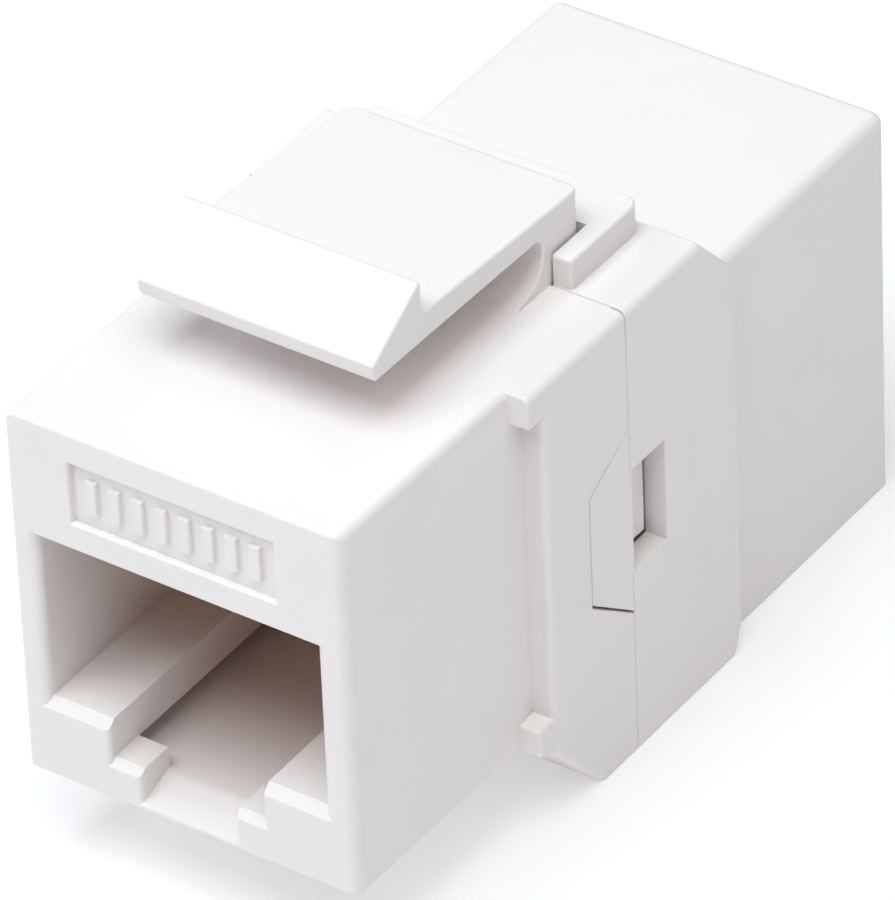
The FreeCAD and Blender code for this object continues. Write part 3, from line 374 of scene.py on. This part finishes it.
def latch():
    fine = 0.11
    corners = [
        (8.5, 19.72, 0.12, fine),
        (16.95, 19.26, 0, fine),
        (18.6, 19.17, 0.22, fine),
        (18.6, 15.6, 0, fine),
        (14.3, 15.6, 0, fine),
        (14.3, 16.1, 0, fine),
    ]
    corners += arc(14.54, 17.85, 1.58, -90, 0, 10, fine)[:-1]
    corners += arc(15.62, 17.86, 0.50, 0, 90, 8, fine)
    corners += [
        (8.9, 18.50, 0.6, fine),
        (5.6, 18.55, 0.10, fine),
        (5.45, 19.28, 0.12, fine),
        (8.4, 21.1, 0.08, fine),
        (8.58, 21.05, 0.06, fine),
    ]
    half = 5.05
    bm = bmesh.new()
    rows = []
    for side in (-1, 1):
        rings = []
        for k in range(5):
            a = math.radians(90 * k / 4)
            rings.append([bm.verts.new(P(side * (half - rim * (1 - math.sin(a))), d, z)) for d, z, rim in inset_outline(corners, 1 - math.cos(a))])
        rows.append(rings)
    strips = [(rows[0][0], rows[1][0])]
    for rings in rows:
        strips += list(zip(rings, rings[1:]))
    n = len(rows[0][0])
    for u, v in strips:
        for i in range(n):
            j = (i + 1) % n
            bm.faces.new((u[i], u[j], v[j], v[i]))
    caps = [bm.faces.new(rings[-1]) for rings in rows]
    bmesh.ops.recalc_face_normals(bm, faces=bm.faces)
    bmesh.ops.triangulate(bm, faces=caps)
    # cross cuts, so that the arm can bend
    d = 6.2
    while d < 17.2:
        bmesh.ops.bisect_plane(bm, geom=bm.verts[:] + bm.edges[:] + bm.faces[:], plane_co=P(0, d, 0), plane_no=(0, 1, 0), dist=1e-7)
        d += 0.6
    # upright rear corners of the block, rounded in plan
    half, back, turn = 5.05, 18.6, 0.55
    for t in (0.0, 0.25, 0.45, 0.62, 0.76, 0.88):
        cuts = [(P(0, back - turn * (1 - t), 0), (0, 1, 0))]
        cuts += [(P(side * (half - turn * (1 - t)), 0, 0), (1, 0, 0)) for side in (-1, 1)]
        for co, no in cuts:
            bmesh.ops.bisect_plane(bm, geom=bm.verts[:] + bm.edges[:] + bm.faces[:], plane_co=co, plane_no=no, dist=1e-7)
    for v in bm.verts:
        x, d, _ = drawn(v.co)
        a, b = (abs(x) - half + turn) / turn, (d - back + turn) / turn
        if a > 0 and b > 0:
            a, b = a * math.sqrt(1 - b * b / 2), b * math.sqrt(1 - a * a / 2)
            v.co.x = math.copysign((half - turn + a * turn) * MM, x)
            v.co.y = P(0, back - turn + b * turn, 0).y
    # the arm stands out a little further on the left than the block does
    for v in bm.verts:
        if v.co.x < 0:
            v.co.x -= 0.17 * MM * min(1.0, max(0.0, (16.4 - drawn(v.co).y) / 1.8))
    me = bpy.data.meshes.new("latch")
    bm.to_mesh(me)
    bm.free()
    even_normals(me)
    o = link(bpy.data.objects.new("keystone_latch_moulding", me))
    set_material(o, white)
    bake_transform(o)
    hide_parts("keystone_latch")


latch()


# --------------------------------------------------------------------------
# Contact wires: tail, run along the insert, turn under its end and free arm
def wire_path(rear):
    r, cy, cz, slope = 0.55, 3.0, 11.65, 19.0
    tail = LENGTH - 16.9 + 0.25 if rear else 16.9 + 1.2 + 0.25
    pts = [(tail, 12.2), (tail - 0.1, 12.2)]
    d = tail - 0.6
    while d > 3.4:
        pts.append((d, 12.2))
        d -= 1.2
    for k in range(15):
        a = math.radians(90 + (180 - slope) * k / 14)
        pts.append((cy + r * math.cos(a), cz + r * math.sin(a)))
    ey, ez = pts[-1]
    s = math.radians(slope)
    for t in (0.3, 0.8, 1.6, 2.6, 3.6, 4.6, 5.6, 6.6, 7.2, 7.45, 7.57):
        pts.append((ey + t * math.cos(s), ez - t * math.sin(s)))
    return pts


def wire(name, x, rear):
    ring, radius = 12, 0.18
    path = [P(x, LENGTH - d if rear else d, z - (REAR_DROP if rear else 0)) for d, z in wire_path(rear)]
    bm = bmesh.new()
    rings = []
    n = len(path)
    side = Vector((1, 0, 0))
    for i, p in enumerate(path):
        t = (path[min(i + 1, n - 1)] - path[max(i - 1, 0)]).normalized()
        up = t.cross(side).normalized()
        k = 1.0
        if i in (0, n - 1):
            k = 0.55
        elif i in (1, n - 2):
            k = 0.92
        rings.append([bm.verts.new(p + (side * math.cos(q) + up * math.sin(q)) * radius * k * MM) for q in (2 * math.pi * j / ring for j in range(ring))])
    for u, v in zip(rings, rings[1:]):
        for j in range(ring):
            m = (j + 1) % ring
            bm.faces.new((u[j], u[m], v[m], v[j]))
    bm.faces.new(rings[0][::-1])
    bm.faces.new(rings[-1])
    bmesh.ops.recalc_face_normals(bm, faces=bm.faces)
    me = bpy.data.meshes.new(name)
    bm.to_mesh(me)
    bm.free()
    for p in me.polygons:
        p.use_smooth = True
    me.set_sharp_from_angle(angle=math.radians(50))
    o = link(bpy.data.objects.new(name, me))
    set_material(o, gold)
    return o


for port, rear in (("front", False), ("rear", True)):
    shift = 0 if rear else -0.16
    for k in range(8):
        o = wire("%s_wire_%d" % (port, k + 1), 1.016 * (k - 3.5) + shift, rear)
        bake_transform(o)
        names = ["%s_contact_%d" % (port, k + 1)]
        if k == 0:
            names.append(port + "_contact_leads")
        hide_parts(*names)


# --------------------------------------------------------------------------
# Stage: pale sweep, soft light from above, camera
def floor():
    me = bpy.data.meshes.new("floor")
    r = 6.0
    me.from_pydata([(-r, -r, 0), (r, -r, 0), (r, r, 0), (-r, r, 0)], [], [(0, 1, 2, 3)])
    o = link(bpy.data.objects.new("floor", me))
    m, nt, bsdf = new_material("pale_floor")
    vec = coords(nt)
    nt.links.new(ramp(nt, noise(nt, vec, 6.0), [(0.3, (0.63, 0.63, 0.63)), (0.7, (0.65, 0.65, 0.65))]), bsdf.inputs["Base Color"])
    bsdf.inputs["Roughness"].default_value = 0.9
    bsdf.inputs["Specular IOR Level"].default_value = 0.1
    bsdf.inputs["Emission Color"].default_value = (1, 1, 1, 1)
    # far from the lights the floor glows more, so that it stays pale
    away = nt.nodes.new("ShaderNodeVectorMath")
    away.operation = "LENGTH"
    nt.links.new(vec, away.inputs[0])
    nt.links.new(map_range(nt, step(nt, away.outputs["Value"], 0.2, 0.9), 0.34, 0.9), bsdf.inputs["Emission Strength"])
    set_material(o, m)


floor()


def softbox(name, az, el, power, color, dist=0.45, size=0.30):
    a, e = math.radians(az), math.radians(el)
    way = Vector((math.sin(a) * math.cos(e), -math.cos(a) * math.cos(e), math.sin(e)))
    d = bpy.data.lights.new(name, "AREA")
    d.shape = "SQUARE"
    d.size = size
    d.energy = power
    d.color = color
    o = link(bpy.data.objects.new(name, d))
    o.location = way * dist + Vector((0, 0, 0.01))
    o.rotation_mode = "QUATERNION"
    o.rotation_quaternion = (-way).to_track_quat("-Z", "Y")


world = bpy.data.worlds.new("studio")
scene.world = world
world.use_nodes = True
bg = world.node_tree.nodes["Background"]
bg.inputs["Color"].default_value = (1.0, 1.0, 1.0, 1)
bg.inputs["Strength"].default_value = 0.01

softbox("front_softbox", 0, 70, 1.450, (0.925, 0.990, 1.0))
softbox("left_softbox", -90, 30, 0.380, (0.935, 0.910, 1.0))
softbox("right_softbox", 90, 60, 0.485, (1.0, 0.985, 0.935))
softbox("back_softbox", 180, 60, 0.420, (0.800, 0.870, 1.0))
softbox("front_left_softbox", -45, 45, 0.220, (0.870, 0.935, 1.0))
softbox("low_left_softbox", -45, 25, 0.340, (0.922, 0.938, 1.0))
softbox("front_right_softbox", 45, 45, 0.285, (0.940, 0.905, 1.0))

scene.view_settings.view_transform = "Standard"
scene.view_settings.look = "None"


def camera():
    d = bpy.data.cameras.new("camera")
    d.sensor_width = 36.0
    d.sensor_fit = "AUTO"
    d.lens = 9905.98 / 900.0 * 36.0
    d.clip_start, d.clip_end = 0.01, 10.0
    o = link(bpy.data.objects.new("camera", d))
    az, el, roll = math.radians(35.8388), math.radians(36.6750), math.radians(-2.5588)
    back = Vector((math.sin(az) * math.cos(el), -math.cos(az) * math.cos(el), math.sin(el)))
    fwd = -back
    right = fwd.cross(Vector((0, 0, 1))).normalized()
    up = right.cross(fwd)
    c, s = math.cos(roll), math.sin(roll)
    r2, u2 = right * c + up * s, up * c - right * s
    loc = P(171.2543, -220.4140, 224.3648)
    m = Matrix.Identity(4)
    for i in range(3):
        m[i][0], m[i][1], m[i][2], m[i][3] = r2[i], u2[i], back[i], loc[i]
    o.matrix_world = m
    scene.camera = o


camera()
